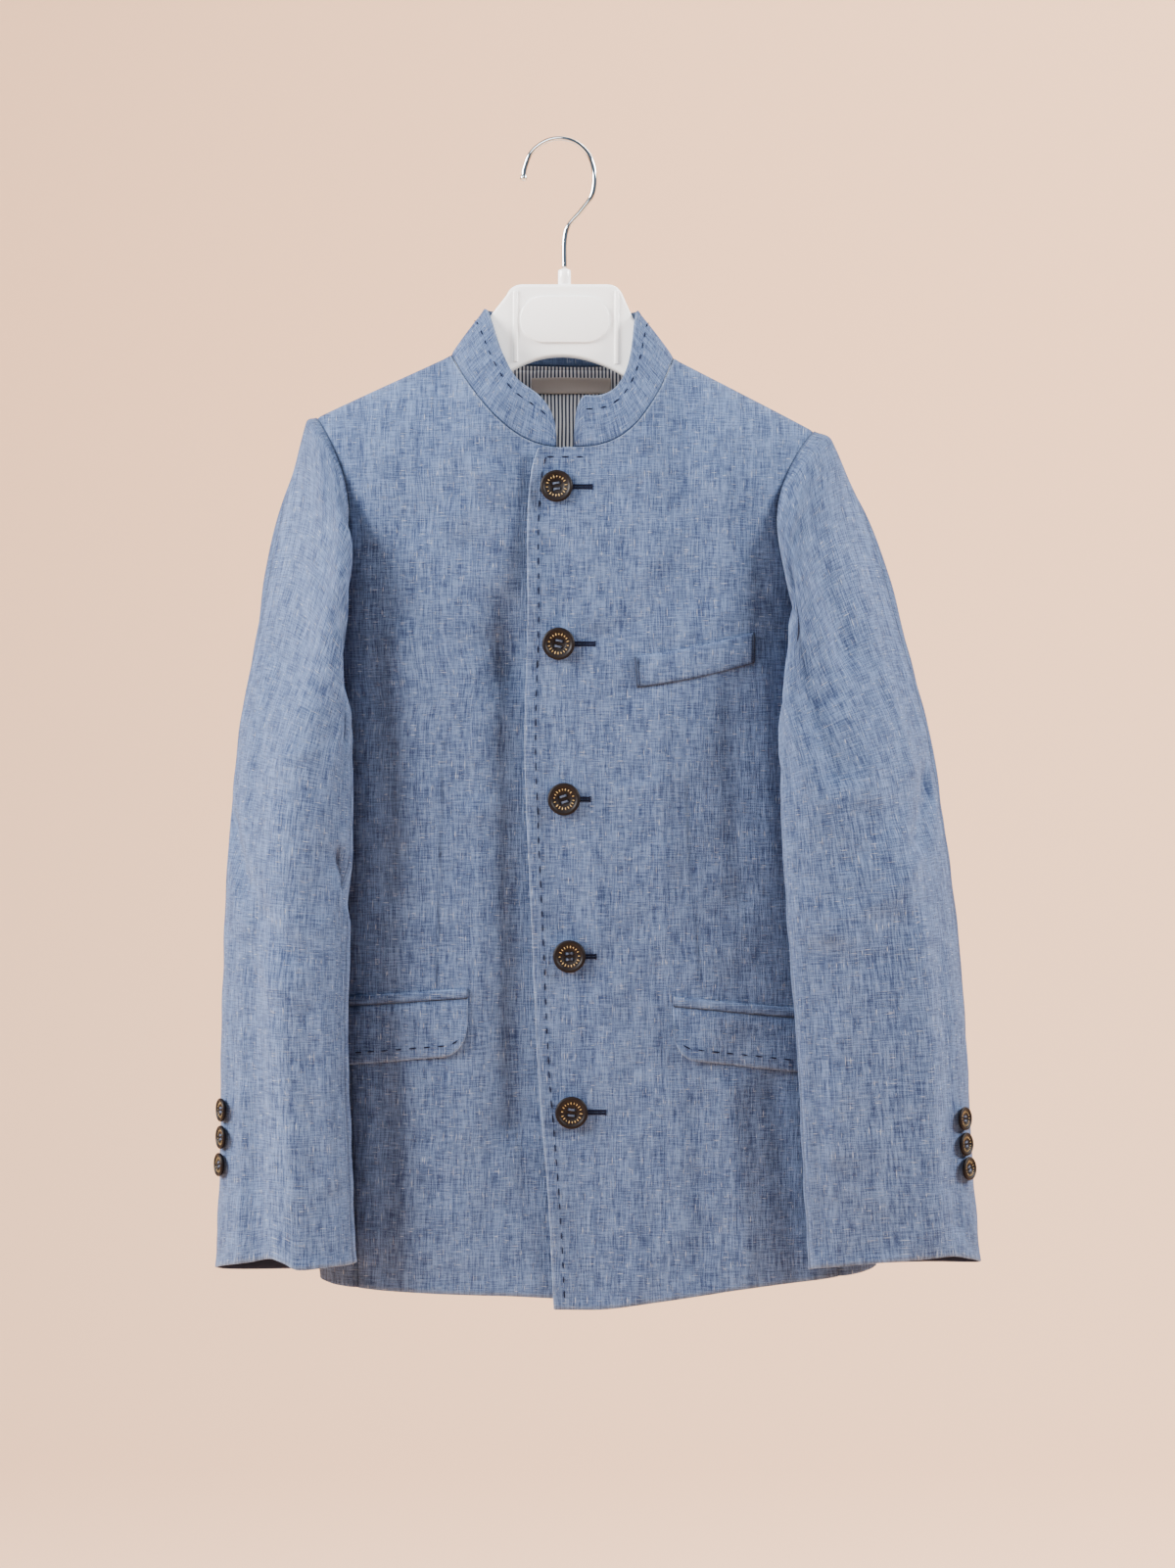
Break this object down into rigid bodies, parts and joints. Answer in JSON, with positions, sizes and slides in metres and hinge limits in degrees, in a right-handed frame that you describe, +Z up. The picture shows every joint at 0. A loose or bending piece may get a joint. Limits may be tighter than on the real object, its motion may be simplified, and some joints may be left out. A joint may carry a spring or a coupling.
{
  "type": "suit jacket on a hanger",
  "caption": "Buttoned linen suit jacket with an upright band collar, flap pockets and long sleeves, hanging on a white plastic hanger with a wire hook.",
  "frame": {"origin": "the inside top of the hanger's hook, where a peg or rail holds it", "axes": "+Z up along the garment's length, +X to the viewer's right as seen from the front (the wearer's left), +Y back towards the wall, so the front faces -Y"},
  "size_m": [0.4731, 0.1117, 0.7267],
  "materials": {
    "linen": "slubby two-tone linen weave, matte",
    "lining": "smooth striped lining, slight sheen",
    "label": "bare woven tape",
    "button": "polished dark horn look",
    "hanger_plastic": "glossy white",
    "hook_wire": "bright plated wire"
  },
  "bodies": {
    "root": {"front_right": "linen", "front_left": "linen", "side_right": "linen", "side_left": "linen", "back_right": "linen", "back_left": "linen", "collar": "linen", "sleeve_top_right": "linen", "sleeve_under_right": "linen", "sleeve_top_left": "linen", "sleeve_under_left": "linen", "jet_right": "linen", "jet_left": "linen", "flap_right": "linen", "flap_left": "linen", "breast_welt": "linen", "lining_back": "lining", "label": "label", "button_front_1": "button", "button_front_2": "button", "button_front_3": "button", "button_front_4": "button", "button_front_5": "button", "button_cuff_right_1": "button", "button_cuff_right_2": "button", "button_cuff_right_3": "button", "button_cuff_left_1": "button", "button_cuff_left_2": "button", "button_cuff_left_3": "button", "hanger_body": "hanger_plastic", "hanger_plaque": "hanger_plastic", "hanger_ferrule": "hanger_plastic", "hanger_hook": "hook_wire"}
  },
  "joints": []
}
